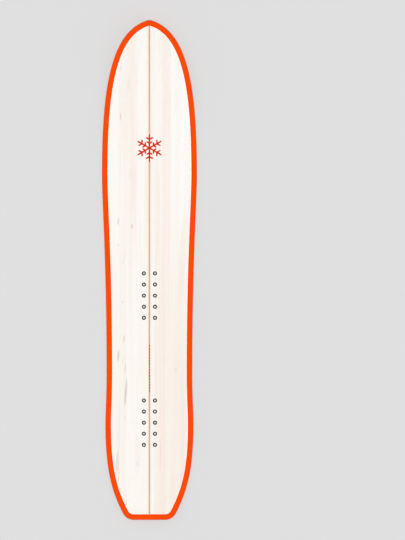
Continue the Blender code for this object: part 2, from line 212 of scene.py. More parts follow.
def height(level, y):
    """Height of a level of the layup, which may be a number or follow the core's thickness."""
    return rise(y) + (level(y) if callable(level) else level)


def raised(level, extra):
    """A level a little above or below another one."""
    return (lambda y: level(y) + extra) if callable(level) else level + extra


# The outline is a list of spots down the right side, from the tip to the tail. Each spot is a
# place on the outline and the outward direction there.


def heading(turn):
    """Direction of travel after turning this far from straight across the tip."""
    return Vector((math.cos(turn), -math.sin(turn)))


def outward(direction):
    return Vector((-direction.y, direction.x))


def arc(centre, radius, start, end, count):
    spots = []
    for step in range(count + 1):
        out = outward(heading(start + (end - start) * step / count))
        spots.append((centre + out * radius, out))
    return spots


def flank(start, start_turn, end, end_turn, pull, count):
    """A curve that leaves and arrives in given directions, as a cubic with two handles."""
    reach = (end - start).length
    first = start + heading(start_turn) * reach * pull[0]
    second = end - heading(end_turn) * reach * pull[1]
    spots = []
    for step in range(count + 1):
        t = step / count
        u = 1 - t
        place = u**3 * start + 3 * u * u * t * first + 3 * u * t * t * second + t**3 * end
        way = u * u * (first - start) + 2 * u * t * (second - first) + t * t * (end - second)
        spots.append((place, outward(way.normalized())))
    return spots


def right_side():
    square = math.pi / 2
    nose = Vector((NOSE_WIDTH / 2, HALF - NOSE_LENGTH))
    tail = Vector((TAIL_WIDTH / 2, -HALF + TAIL_LENGTH))
    waist = Vector((WAIST_WIDTH / 2, nose.y + (tail.y - nose.y) * WAIST_PLACE))
    tip_centre = Vector((0, HALF - TIP_RADIUS))
    corner_centre = Vector((TAIL_BLOCK / 2, -HALF + TAIL_CORNER_RADIUS))
    corner_turn = square + TAIL_FLANK_ANGLE
    tip = arc(tip_centre, TIP_RADIUS, 0, TIP_SWEEP, TIP_STEPS)
    corner = arc(corner_centre, TAIL_CORNER_RADIUS, corner_turn, math.pi, TAIL_CORNER_STEPS)
    first = tip[-1][0]
    last = corner[0][0]
    curves = [
        flank(first, TIP_SWEEP, nose, square, NOSE_FLANK_PULL, NOSE_FLANK_STEPS),
        flank(nose, square, waist, square, SIDECUT_FRONT_PULL, SIDECUT_FRONT_STEPS),
        flank(waist, square, tail, square, SIDECUT_REAR_PULL, SIDECUT_REAR_STEPS),
        flank(tail, square, last, corner_turn, TAIL_FLANK_PULL, TAIL_FLANK_STEPS),
        corner,
    ]
    return tip + [spot for curve in curves for spot in curve[1:]]


OUTLINE = right_side()


def corner_at(mesh, spot, inset, level, side=1):
    place = spot[0] - spot[1] * inset
    return mesh.verts.new((side * place.x, place.y, height(level, place.y)))


def closed_loop(mesh, inset, level):
    """A loop of points all round the board, some way inside the outline, on one level."""
    right = [corner_at(mesh, spot, inset, level) for spot in OUTLINE]
    left = right[:1] + [corner_at(mesh, spot, inset, level, -1) for spot in OUTLINE[1:]]
    return right, left


def bridge(mesh, first, second):
    """Faces between two closed rings with as many points."""
    for step in range(len(first)):
        mesh.faces.new((first[step - 1], first[step], second[step], second[step - 1]))


def wall(mesh, first, second):
    """Faces between two loops."""
    bridge(mesh, first[0] + first[1][:0:-1], second[0] + second[1][:0:-1])


def sheet(mesh, loop):
    """Closes a loop with straight rungs from side to side."""
    right, left = loop
    mesh.faces.new((right[0], right[1], left[1]))
    for step in range(1, len(right) - 1):
        mesh.faces.new((right[step], right[step + 1], left[step + 1], left[step]))


def turned_out(mesh):
    bmesh.ops.recalc_face_normals(mesh, faces=mesh.faces)
    return mesh


def in_order(mesh):
    """Sorts points and faces, because an extrusion gives them in another order on each run."""
    by_place = sorted(mesh.verts, key=lambda vert: vert.co[:])
    mesh.verts.sort(key={vert: rank for rank, vert in enumerate(by_place)}.get)
    mesh.verts.index_update()
    by_points = sorted(mesh.faces, key=lambda face: sorted(vert.index for vert in face.verts))
    mesh.faces.sort(key={face: rank for rank, face in enumerate(by_points)}.get)
    return mesh


def rounded(inset, level, inset_way, level_way, radius):
    """A corner of a cross-section as an arc, from its upright face to its level face.

    The two ways, each 1 or -1, point from the corner into the body.
    """
    corners = []
    for step in range(ROUNDING_STEPS + 1):
        angle = math.pi / 2 * step / ROUNDING_STEPS
        along = inset_way * radius * (1 - math.cos(angle))
        up = level_way * radius * (1 - math.sin(angle))
        corners.append((inset + along, raised(level, up)))
    return corners


def layer(under, top):
    """A layer across the whole board, with an underside and a top given as (inset, level) corners.

    Both lists run from the border inwards.
    """
    mesh = bmesh.new()
    low = [closed_loop(mesh, *corner) for corner in under]
    high = [closed_loop(mesh, *corner) for corner in top]
    loops = low[::-1] + high
    for first, second in zip(loops, loops[1:]):
        wall(mesh, first, second)
    sheet(mesh, low[-1])
    sheet(mesh, high[-1])
    return turned_out(mesh)


def border(profile):
    """A band all round the board with the cross-section given as (inset, level) corners."""
    mesh = bmesh.new()
    loops = [closed_loop(mesh, *corner) for corner in profile]
    for step, loop in enumerate(loops):
        wall(mesh, loops[step - 1], loop)
    return turned_out(mesh)


def rail(spots, profile):
    """The same down the right side only, with its two ends left open."""
    mesh = bmesh.new()
    rows = [[corner_at(mesh, spot, *corner) for corner in profile] for spot in spots]
    for before, here in zip(rows, rows[1:]):
        bridge(mesh, before, here)
    return mesh, rows


def cut(mesh, axis, place, way=1, clear=False):
    """Cuts the mesh square to an axis, and may clear what lies on the side that way points to."""
    point = [0, 0, 0]
    point[axis] = place
    normal = [0, 0, 0]
    normal[axis] = way
    bmesh.ops.bisect_plane(
        mesh,
        geom=mesh.verts[:] + mesh.edges[:] + mesh.faces[:],
        dist=CUT_TOLERANCE,
        plane_co=point,
        plane_no=normal,
        clear_outer=clear,
    )


def trimmed(mesh, axis, place, keep):
    """Cuts the mesh square to an axis, keeps the side that keep points to, and caps the cut."""
    cut(mesh, axis, place, -keep, clear=True)
    bmesh.ops.edgeloop_fill(mesh, edges=[edge for edge in mesh.edges if edge.is_boundary])
    return turned_out(mesh)


def mirrored(mesh):
    copy = mesh.copy()
    bmesh.ops.transform(copy, matrix=Matrix.Scale(-1, 4, (1, 0, 0)), verts=copy.verts)
    return turned_out(copy)


def mesh_data(name, mesh):
    data = bpy.data.meshes.new(name)
    mesh.to_mesh(data)
    mesh.free()
    return data


def placed(name, data):
    """An object in the scene, made of a mesh, a light or a camera."""
    made = bpy.data.objects.new(name, data)
    bpy.context.scene.collection.objects.link(made)
    return made


def shaded(data):
    """Smooth shading that stops at sharp edges."""
    data.shade_smooth()
    data.set_sharp_from_angle(angle=SHARP_ANGLE)


def piece(name, mesh, finish, stands_for=()):
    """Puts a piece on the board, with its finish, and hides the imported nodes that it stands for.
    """
    data = mesh_data(name, mesh)
    data.materials.append(finish)
    shaded(data)
    made = placed(name, data)
    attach(made, "root")
    if stands_for:
        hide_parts(*stands_for)
    return made


def insert_places():
    """Name and place of every insert on the deck's flat part."""
    for pack_name, pack in (("front", FRONT_PACK), ("rear", REAR_PACK)):
        for side_name, side in (("left", -1), ("right", 1)):
            for row in range(INSERT_ROWS):
                y = pack + PACK_REACH - row * INSERT_PITCH
                yield f"{pack_name}_{side_name}_{row + 1}", side * INSERT_PITCH / 2, y


def drilled(made, sides=(-1, 1)):
    """Cuts the round holes over the inserts on the given sides through a layer."""
    mesh = bmesh.new()
    for _, x, y in insert_places():
        if math.copysign(1, x) in sides:
            bmesh.ops.create_cone(
                mesh,
                cap_ends=True,
                segments=ROUND_SIDES,
                radius1=DECK_HOLE / 2,
                radius2=DECK_HOLE / 2,
                depth=CORE_THICKNESS,
                matrix=Matrix.Translation((x, y, FLAT_DECK)),
            )
    drill = placed("drill", mesh_data("drill", mesh))
    holes = made.modifiers.new("holes", "BOOLEAN")
    holes.operation = "DIFFERENCE"
    holes.solver = "EXACT"
    holes.object = drill
    seen = made.evaluated_get(bpy.context.evaluated_depsgraph_get())
    whole = made.data
    made.data = bpy.data.meshes.new_from_object(seen)
    made.modifiers.clear()
    bpy.data.meshes.remove(whole)
    made.data.name = made.name
    bpy.data.meshes.remove(drill.data)
    shaded(made.data)


NOISE_SPAN = (0.3, 0.7)  # most of a noise texture's values lie between these
PORE_DEPTH = 1.2  # of a pore, against the height of a growth line


class Finish:
    """A Principled material put together node by node."""

    def __init__(self, name, roughness=0.4, metallic=0.0, specular=0.5):
        self.material = bpy.data.materials.new(name)
        self.material.use_nodes = True
        self.tree = self.material.node_tree
        self.shader = self.tree.nodes["Principled BSDF"]
        self.shader.inputs["Roughness"].default_value = roughness
        self.shader.inputs["Metallic"].default_value = metallic
        self.shader.inputs["Specular IOR Level"].default_value = specular
        self.place = self.node("ShaderNodeTexCoord").outputs["Object"]

    def node(self, kind, inputs=None, **settings):
        """A node with its settings, its inputs fed by sockets or set to values."""
        made = self.tree.nodes.new(kind)
        for setting, value in settings.items():
            setattr(made, setting, value)
        for key, value in (inputs or {}).items():
            if isinstance(value, bpy.types.NodeSocket):
                self.tree.links.new(value, made.inputs[key])
            else:
                made.inputs[key].default_value = value
        return made

    def math(self, operation, *values):
        inputs = dict(enumerate(values))
        return self.node("ShaderNodeMath", inputs, operation=operation).outputs[0]

    def spread(self, value, low, high, new_low=0.0, new_high=1.0, smooth=False):
        """Maps a range of values on another."""
        inputs = {"Value": value, "From Min": low, "From Max": high}
        inputs.update({"To Min": new_low, "To Max": new_high})
        way = "SMOOTHSTEP" if smooth else "LINEAR"
        return self.node("ShaderNodeMapRange", inputs, interpolation_type=way).outputs["Result"]

    def noise(self, across, along, detail=3.0, rough=0.5, offset=0.0):
        """Noise with so many features a metre along the board, and so many across it and up."""
        scale = (across, along, across)
        inputs = {"Vector": self.place, "Scale": scale, "Location": (offset, offset, offset)}
        moved = self.node("ShaderNodeMapping", inputs).outputs[0]
        inputs = {"Vector": moved, "Scale": 1.0, "Detail": detail, "Roughness": rough}
        return self.node("ShaderNodeTexNoise", inputs).outputs["Fac"]

    def wave(self, scale, distortion, direction):
        """Wavy parallel bands."""
        inputs = {"Vector": self.place, "Scale": scale, "Distortion": distortion}
        made = self.node("ShaderNodeTexWave", inputs, bands_direction=direction)
        return made.outputs["Fac"]

    def blend(self, factor, first, second, way="MIX"):
        """Two colours, or sockets of colours, mixed."""
        made = self.node("ShaderNodeMix", data_type="RGBA", blend_type=way)
        for socket, value in ((0, factor), (6, first), (7, second)):
            if isinstance(value, bpy.types.NodeSocket):
                self.tree.links.new(value, made.inputs[socket])
            else:
                made.inputs[socket].default_value = value
        return made.outputs[2]

    def ramp(self, value, stops):
        """A value turned into greys or colours by (position, colour) stops."""
        made = self.node("ShaderNodeValToRGB", {"Fac": value})
        elements = made.color_ramp.elements
        while len(elements) > 1:
            elements.remove(elements[-1])
        elements[0].position, elements[0].color = stops[0]
        for position, colour in stops[1:]:
            elements.new(position).color = colour
        return made.outputs["Color"]

    def feed(self, socket, value):
        self.tree.links.new(value, self.shader.inputs[socket])

    def mottle(self, value, colour, dark_share):
        """The base colour, darkened to a share of itself where the value is low."""
        darker = tuple(part * dark_share for part in colour[:3]) + (1.0,)
        self.feed("Base Color", self.blend(self.spread(value, *NOISE_SPAN), darker, colour))

    def bump(self, value, depth, strength):
        inputs = {"Height": value, "Distance": depth, "Strength": strength}
        self.feed("Normal", self.node("ShaderNodeBump", inputs).outputs["Normal"])


def shade(red, green, blue):
    """A colour given in display values from 0 to 255, as the linear colour that a shader takes."""
    linear = []
    for value in (red, green, blue):
        part = value / 255
        linear.append(part / 12.92 if part <= 0.04045 else ((part + 0.055) / 1.055) ** 2.4)
    return (*linear, 1.0)


# Pale veneers. A plank is where it starts, measured from the centre line, and how beige it is at
# the nose and at the tail. A mark is its place, length, width, lean and strength.
VENEER_LIGHT = shade(255, 254, 249)
VENEER_BEIGE = shade(250, 238, 227)
VENEER_MARK = shade(196, 176, 166)
PLANK_SOFTNESS = 0.003
PLANKS_LEFT = [
    (0.003, 0.40, 0.35),
    (0.017, 0.15, 0.25),
    (0.043, 0.45, 0.35),
    (0.052, 0.65, 0.20),
    (0.077, 0.50, 0.20),
    (0.085, 0.40, 0.50),
    (0.108, 0.10, 0.35),
]
PLANKS_RIGHT = [
    (0.003, 0.40, 0.20),
    (0.018, 0.30, 0.80),
    (0.036, 0.30, 0.95),
    (0.045, 0.60, 0.90),
    (0.061, 0.60, 0.65),
    (0.076, 0.05, 0.70),
    (0.092, 0.25, 0.70),
    (0.108, 0.00, 0.85),
    (0.127, 0.05, 0.60),
]
MARKS_LEFT = [
    (-0.075, 0.670, 0.050, 0.0120, 0.00, 0.10),
    (-0.103, 0.728, 0.025, 0.0060, 0.05, 0.30),
    (-0.104, 0.553, 0.032, 0.0060, 0.10, 0.50),
    (-0.068, 0.349, 0.045, 0.0120, 0.10, 0.10),
    (-0.112, 0.177, 0.036, 0.0075, 0.06, 0.40),
    (-0.051, 0.159, 0.180, 0.0050, 0.00, 0.15),
    (-0.063, 0.157, 0.022, 0.0080, 0.00, 0.50),
    (-0.112, 0.090, 0.010, 0.0050, 0.00, 0.55),
    (-0.092, 0.041, 0.058, 0.0060, 0.20, 0.15),
    (-0.097, -0.115, 0.012, 0.0070, 0.00, 0.30),
    (-0.092, -0.249, 0.036, 0.0065, 0.15, 0.45),
    (-0.112, -0.308, 0.047, 0.0075, 0.06, 0.60),
    (-0.096, -0.330, 0.036, 0.0060, 0.08, 0.20),
    (-0.087, -0.353, 0.040, 0.0060, 0.06, 0.35),
    (-0.085, -0.440, 0.115, 0.0085, 0.07, 0.65),
    (-0.119, -0.492, 0.010, 0.0050, 0.00, 0.15),
    (-0.087, -0.532, 0.032, 0.0060, 0.08, 0.20),
    (-0.111, -0.613, 0.310, 0.0050, 0.00, 0.20),
    (-0.116, -0.689, 0.094, 0.0120, 0.10, 0.35),
    (-0.043, -0.698, 0.022, 0.0140, 0.00, 0.10),
    (-0.112, -0.736, 0.070, 0.0070, -0.03, 0.30),
    (-0.083, -0.838, 0.026, 0.0055, 0.00, 0.50),
]
MARKS_RIGHT = [
    (0.094, -0.361, 0.028, 0.0100, 0.00, 0.20),
    (0.023, -0.361, 0.190, 0.0060, 0.00, 0.10),
    (0.061, -0.487, 0.045, 0.0060, 0.00, 0.10),
    (0.039, -0.671, 0.144, 0.0055, 0.03, 0.20),
]
# A streak is given as a mark is, and its strength adds to how beige the wood is.
STREAKS_LEFT = [
    (-0.012, 0.260, 0.480, 0.014, 0.00, 0.30),
    (-0.054, 0.290, 0.220, 0.015, 0.00, 0.35),
    (-0.096, 0.290, 0.300, 0.020, 0.00, -0.15),
    (-0.041, -0.665, 0.160, 0.028, 0.00, 0.30),
]
STREAKS_RIGHT = [
    (0.027, 0.215, 0.480, 0.022, 0.00, 0.35),
    (0.119, 0.050, 0.400, 0.027, 0.05, 0.45),
    (0.083, -0.790, 0.160, 0.022, 0.00, 0.25),
]
VENEER_BLUSH = (1.0, 0.985, 0.992, 1.0)  # multiplies the wood's colour in soft patches
VENEER_PORES = 0.10  # how strongly the finest pores darken the wood
VENEER_GRAIN = 85.0  # broad growth lines a metre
BROAD_TONE = 0.15  # how far broad growth lines shift how beige the wood is
LINE_TONE = 0.20  # the same for fine ones
PLANK_DRIFT = 0.003  # how far the seams between planks wander
ALL_TAIL = -0.40  # back from here the planks have the tail's tones
ALL_NOSE = 0.42  # and from here on the nose's
NOSE_TONE, TAIL_TONE = 1, 2  # places in a plank's row
MARK_FADE = (1.10, 0.55)  # a mark fades in between these parts of its half length and width
MARK_HEIGHT = 1000  # so tall that only a point's place in the plan counts


def plank_tones(finish, x, planks, which):
    """How beige the veneer is at a distance from the centre line, plank by plank."""
    widest = NOSE_WIDTH / 2
    stops = [(0.0, (planks[0][which],) * 3 + (1.0,))]
    for before, here in zip(planks, planks[1:]):
        for tone, edge in ((before, -PLANK_SOFTNESS), (here, PLANK_SOFTNESS)):
            stops.append(((here[0] + edge) / widest, (tone[which],) * 3 + (1.0,)))
    return finish.ramp(finish.math("DIVIDE", x, widest), stops)


def mark(finish, x, y, length, width, lean, strength):
    """A soft lengthwise fleck in the wood."""
    inputs = {
        "Vector": finish.place,
        "Location": (x, y, 0),
        "Rotation": (0, 0, -lean),
        "Scale": (width / 2, length / 2, MARK_HEIGHT),
    }
    local = finish.node("ShaderNodeMapping", inputs, vector_type="TEXTURE").outputs[0]
    reach = finish.node("ShaderNodeVectorMath", {0: local}, operation="LENGTH").outputs["Value"]
    return finish.spread(reach, *MARK_FADE, 0.0, strength, smooth=True)


def grain_lines(finish, across, offset=0.0):
    """Growth lines and pores along the board: three values from 0 to 1, from broad to fine."""
    broad = finish.noise(across, along=0.9, detail=1.5, offset=offset)
    lines = finish.noise(across * 5.5, along=2.4, detail=2.0, rough=0.6, offset=offset + 7.7)
    pores = finish.noise(across * 24, along=26.0, detail=1.0, offset=offset + 13.9)
    return (
        finish.spread(broad, *NOISE_SPAN),
        finish.spread(lines, *NOISE_SPAN),
        finish.spread(pores, 0.50, 0.72, smooth=True),
    )


def plank_colour(finish, planks, streaks, broad_and_lines, offset):
    """Planks and streaks between a light and a beige wood, with the tone of the growth lines."""
    x, y, _ = finish.node("ShaderNodeSeparateXYZ", {0: finish.place}).outputs
    drift = finish.noise(3.0, 1.2, detail=1.0, offset=offset)
    drift = finish.spread(drift, *NOISE_SPAN, -PLANK_DRIFT, PLANK_DRIFT)
    side = finish.math("ADD", finish.math("ABSOLUTE", x), drift)
    nose = plank_tones(finish, side, planks, NOSE_TONE)
    tail = plank_tones(finish, side, planks, TAIL_TONE)
    along = finish.spread(y, ALL_TAIL, ALL_NOSE, 1.0, 0.0, smooth=True)
    tone = finish.blend(along, nose, tail)
    for shape in streaks:
        tone = finish.math("ADD", tone, mark(finish, *shape))
    for line, reach in zip(broad_and_lines, (BROAD_TONE, LINE_TONE)):
        tone = finish.math("ADD", tone, finish.spread(line, 0.0, 1.0, -reach, reach))
    colour = finish.ramp(tone, [(0.0, VENEER_LIGHT), (1.0, VENEER_BEIGE)])
    patches = finish.noise(45.0, 1.6, detail=1.0, offset=offset + 11.3)
    blush = finish.spread(patches, 0.42, 0.62, smooth=True)
    return finish.blend(blush, colour, finish.blend(1.0, colour, VENEER_BLUSH, "MULTIPLY"))


def wood_relief(finish, lines, pores):
    """Growth lines that stand up and pores that are sunk."""
    return finish.math("ADD", lines, finish.math("MULTIPLY", pores, -PORE_DEPTH))


def veneer(name, planks, marks, streaks, offset):
    """Lacquered pale wood in planks, with grain along the board and dark flecks."""
    finish = Finish(name, roughness=0.42)
    broad, lines, pores = grain_lines(finish, VENEER_GRAIN, offset)
    colour = plank_colour(finish, planks, streaks, (broad, lines), offset)
    dark = mark(finish, *marks[0])
    for shape in marks[1:]:
        dark = finish.math("MAXIMUM", dark, mark(finish, *shape))
    dark = finish.math("MULTIPLY", dark, finish.spread(lines, 0.1, 0.6, 0.6, 1.0))
    dark = finish.math("ADD", dark, finish.math("MULTIPLY", pores, VENEER_PORES))
    finish.feed("Base Color", finish.blend(dark, colour, VENEER_MARK))
    finish.feed("Roughness", finish.spread(lines, 0.0, 1.0, 0.36, 0.50))
    finish.bump(wood_relief(finish, lines, pores), depth=0.00005, strength=0.5)
    return finish.material


def wood(name, light, dark, grain, contrast=1.0):
    """Plain wood with growth lines along the board."""
    finish = Finish(name, roughness=0.5)
    broad, lines, pores = grain_lines(finish, grain)
    halves = [finish.math("MULTIPLY", line, 0.5) for line in (broad, lines)]
    tone = finish.math("ADD", *halves)
    reach = 0.5 / contrast
    tone = finish.spread(tone, 0.5 - reach, 0.5 + reach)
    tone = finish.math("ADD", tone, finish.math("MULTIPLY", pores, 0.35))
    finish.feed("Base Color", finish.ramp(tone, [(0.0, light), (1.0, dark)]))
    finish.feed("Roughness", finish.spread(lines, 0.0, 1.0, 0.44, 0.58))
    finish.bump(wood_relief(finish, lines, pores), depth=0.00006, strength=0.5)
    return finish.material


def polymer(name, colour, roughness, specular=0.5, mottle=0.04, grain=900.0, along=None):
    """Moulded or sheet polymer with a faint mottle and a fine surface texture."""
    finish = Finish(name, roughness=roughness, specular=specular)
    finish.mottle(finish.noise(24.0, 24.0, detail=2.0), colour, 1 - mottle)
    texture = finish.noise(grain, grain if along is None else along, detail=2.0)
    low, high = roughness - 0.05, roughness + 0.06
    finish.feed("Roughness", finish.spread(texture, *NOISE_SPAN, low, high))
    finish.bump(texture, depth=0.00003, strength=0.6)
    return finish.material


def ground_base(name, colour):
    """Sintered polyethylene with the fine lengthwise structure that a stone grinds into it."""
    finish = Finish(name, roughness=0.38, specular=0.06)
    lines = finish.noise(2600.0, 30.0, detail=1.0)
    cross = finish.wave(160.0, 1.5, "DIAGONAL")
    finish.mottle(finish.noise(18.0, 9.0), colour, 0.94)
    finish.feed("Roughness", finish.spread(lines, 0.25, 0.75, 0.30, 0.46))
    relief = finish.math("ADD", lines, finish.math("MULTIPLY", cross, 0.25))
    finish.bump(relief, depth=0.00004, strength=0.6)
    return finish.material


def metal(name, colour, roughness, across, along, metallic=1.0):
    """Machined or rolled metal, with streaks where it was worked."""
    finish = Finish(name, roughness=roughness, metallic=metallic)
    streaks = finish.noise(across, along, rough=0.6)
    finish.mottle(streaks, colour, 0.86)
    low, high = roughness - 0.08, roughness + 0.10
    finish.feed("Roughness", finish.spread(streaks, *NOISE_SPAN, low, high))
    finish.bump(streaks, depth=0.00002, strength=0.6)
    return finish.material


def laminate(name):
    """Glass cloth in resin: a greenish sheet with two crossing sets of rovings."""
    finish = Finish(name, roughness=0.30)
    rovings = [finish.wave(230.0, 0.6, direction) for direction in ("X", "Y")]
    cloth = finish.math("MULTIPLY", *rovings)
    colours = [(0.0, shade(172, 176, 152)), (1.0, shade(200, 203, 180))]
    finish.feed("Base Color", finish.ramp(cloth, colours))
    finish.feed("Roughness", finish.spread(cloth, 0.0, 1.0, 0.24, 0.40))
    finish.bump(cloth, depth=0.00004, strength=0.5)
    return finish.material


ORANGE = shade(252, 75, 1)
finishes = {
    "veneer_pale": veneer("pale veneer", PLANKS_LEFT, MARKS_LEFT, STREAKS_LEFT, 0.0),
    "veneer_warm": veneer("warm veneer", PLANKS_RIGHT, MARKS_RIGHT, STREAKS_RIGHT, 20.0),
    "stripe_wood": wood("stripe wood", shade(225, 190, 160), shade(203, 166, 133), grain=160.0),
    "deck_band": polymer("deck band", ORANGE, 0.36, specular=0.06, mottle=0.02),
    "base_polyethylene": ground_base("base polyethylene", ORANGE),
    "sidewall_polymer": polymer(
        "sidewall polymer", ORANGE, 0.44, specular=0.25, mottle=0.06, grain=1600.0, along=18.0
    ),
    "edge_steel": metal("edge steel", shade(122, 123, 126), 0.34, across=2200.0, along=12.0),
    "insert_steel": metal(
        "insert steel", shade(255, 255, 254), 0.40, across=500.0, along=500.0, metallic=0.1
    ),
    "glass_laminate": laminate("glass laminate"),
    "spacer_polymer": polymer("spacer polymer", shade(46, 46, 48), 0.55, mottle=0.2),
    "core_wood": wood("core poplar", shade(222, 200, 164), shade(196, 166, 124), grain=60.0),
    "core_hardwood": wood(
        "core ash", shade(204, 172, 130), shade(166, 128, 86), grain=90.0, contrast=1.4
    ),
}
RESIN = polymer("glue line resin", shade(196, 184, 156), 0.30, mottle=0.10, grain=400.0)
SEAM_RESIN = polymer("pale seam resin", shade(250, 244, 234), 0.30, mottle=0.04, grain=400.0)
RING_INK = polymer("dark ink", shade(20, 20, 22), 0.60, specular=0.1, mottle=0.12)
MOTIF_INK = polymer("red ink", shade(215, 38, 8), 0.50, specular=0.1, mottle=0.05)
TICK_INK = polymer("orange ink", shade(208, 78, 34), 0.50, specular=0.1, mottle=0.05)
BASE_INLAY = polymer("white base inlay", shade(246, 246, 244), 0.38, mottle=0.02, along=30.0)

for name, node in frame["nodes"].items():
    if name.startswith("core_strip"):
        node.material_slots[0].material = finishes["core_wood"]
    if name == "core_stringer":
        node.material_slots[0].material = finishes["core_hardwood"]


def made_of(slot, name, mesh, *stands_for):
    return piece(name, mesh, finishes[slot], stands_for)


def both_sides(slot, name, right, node):
    """A piece at the right of the board and its mirror image at the left."""
    left = mirrored(right)
    made_of(slot, "left_" + name, left, node + "_left")
    made_of(slot, "right_" + name, right, node + "_right")


# Base and steel edges
base_inset = EDGE_WIDTH + BOND
made_of(
    "base_polyethylene",
    "running_base",
    layer(
        rounded(base_inset, 0.0, 1, 1, SEAM_ROUNDING),
        [(base_inset, BASE_THICKNESS)],
    ),
    "base_sheet",
)


def steel_edge():
    """The right edge: a bar along the outline, and tabs that reach in over the base sheet."""
    spots = OUTLINE + [(Vector((0, -HALF)), Vector((0, -1)))]
    profile = rounded(0, 0, 1, 1, EDGE_ROUNDING)
    profile += rounded(EDGE_WIDTH, 0, -1, 1, SEAM_ROUNDING)[::-1]
    root = len(profile)
    profile += [(EDGE_WIDTH, TRAY_UNDER), (EDGE_WIDTH, EDGE_TOP)]
    profile += rounded(0, EDGE_TOP, 1, -1, SEAM_ROUNDING)[::-1]
    mesh, rows = rail(spots, profile)
    inward = {row[part]: spot[1] for spot, row in zip(spots, rows) for part in (root, root + 1)}
    travelled = 0.0
    runs = [[]]
    for before, here, first, second in zip(spots, spots[1:], rows, rows[1:]):
        travelled += (here[0] - before[0]).length
        if travelled % TAB_PITCH < TAB_LENGTH:
            runs[-1].append((first, second))
        elif runs[-1]:
            runs.append([])
    for run in filter(None, runs):
        roots = []
        for a, b in run:
            corners = {a[root], a[root + 1], b[root], b[root + 1]}
            roots += [face for face in a[root].link_faces if set(face.verts) == corners]
        ways = [(vert.co.copy(), inward[vert]) for face in roots for vert in face.verts]
        grown = bmesh.ops.extrude_face_region(mesh, geom=roots)["geom"]
        bmesh.ops.delete(mesh, geom=roots, context="FACES_ONLY")
        for point in [item for item in grown if isinstance(item, bmesh.types.BMVert)]:
            way = min(ways, key=lambda pair: (pair[0] - point.co).length)[1]
            level = point.co.z - rise(point.co.y)
            point.co.xy -= way * TAB_REACH
            point.co.z = rise(point.co.y) + level
    return trimmed(in_order(mesh), X, BOND / 2, 1)


both_sides("edge_steel", "steel_edge", steel_edge(), "steel_edge")

# Laminates, spacers and sidewalls
made_of(
    "glass_laminate",
    "lower_laminate",
    layer(
        [
            (SETBACK, LEDGE_UNDER),
            (LEDGE_REACH, LEDGE_UNDER),
            (LEDGE_REACH + JOGGLE_RUN, TRAY_UNDER),
        ],
        [
            (SETBACK, LEDGE_TOP),
            (LEDGE_REACH + GLASS, LEDGE_TOP),
            (LEDGE_REACH + JOGGLE_RUN + GLASS, TRAY_TOP),
        ],
    ),
    "bottom_glass",
)
spacer = layer(
    [
        (SETBACK, SIDE_UNDER),
        (LEDGE_REACH + GLASS + BOND, SIDE_UNDER),
        (CORE_INSET, CORE_UNDER),
    ],
    [(TOP_INSET, CORE_TOP)],
)
nose_block = trimmed(spacer.copy(), Y, CORE_NOSE_END + BOND, 1)
tail_block = trimmed(spacer, Y, CORE_TAIL_END - BOND, -1)
made_of("spacer_polymer", "nose_block", nose_block, "nose_spacer")
made_of("spacer_polymer", "tail_block", tail_block, "tail_spacer")

sidewall, _ = rail(
    OUTLINE,
    rounded(SETBACK, SIDE_UNDER, 1, 1, SEAM_ROUNDING)
    + [(SIDEWALL_REACH, SIDE_UNDER), (SIDEWALL_REACH, CORE_TOP)]
    + rounded(TOP_INSET, CORE_TOP, 1, -1, SEAM_ROUNDING)[::-1],
)
sidewall = trimmed(trimmed(sidewall, Y, CORE_NOSE_END, -1), Y, CORE_TAIL_END, 1)
both_sides("sidewall_polymer", "sidewall", sidewall, "sidewall")

drilled(
    made_of(
        "glass_laminate",
        "upper_laminate",
        layer([(TOP_INSET, TOP_GLASS_UNDER)], [(TOP_INSET, TOP_GLASS_TOP)]),
        "top_glass",
    )
)

# Deck: two veneers, a centre stripe and a coloured rim
veneer_inset = RIM_WIDTH + BOND
stripe_side = STRIPE_WIDTH / 2
deck = layer(
    [(veneer_inset, DECK_UNDER)],
    rounded(veneer_inset, DECK_TOP, 1, -1, SEAM_ROUNDING),
)
left_veneer = trimmed(deck.copy(), X, -stripe_side - BOND, -1)
right_veneer = trimmed(deck.copy(), X, stripe_side + BOND, 1)
stripe = trimmed(trimmed(deck, X, -stripe_side, 1), X, stripe_side, -1)
drilled(made_of("veneer_pale", "left_veneer", left_veneer, "deck_veneer_left"), (-1,))
drilled(made_of("veneer_warm", "right_veneer", right_veneer, "deck_veneer_right"), (1,))
made_of("stripe_wood", "centre_stripe", stripe, "deck_stringer")
made_of(
    "deck_band",
    "coloured_rim",
    border(
        [(RIM_WIDTH, DECK_UNDER), (TOP_INSET, DECK_UNDER)]
        + rounded(TOP_INSET, DECK_TOP, 1, -1, RIM_ROUNDING)
        + rounded(RIM_WIDTH, DECK_TOP, -1, -1, SEAM_ROUNDING)[::-1]
    ),
    "deck_rim",
)

# Resin in the glue lines and seams
film_inset = TOP_INSET + FILM_SETBACK
for name, under, top in (
    ("glue_film_core", CORE_TOP, TOP_GLASS_UNDER),
    ("glue_film_deck", TOP_GLASS_TOP, DECK_UNDER),
):
    drilled(piece(name, layer([(film_inset, under)], [(film_inset, top)]), RESIN))


def filled(name, outer, inner, under, top, finish):
    """A bead of resin all round the board."""
    profile = [(outer, under), (inner, under), (inner, top), (outer, top)]
    piece(name, border(profile), finish)


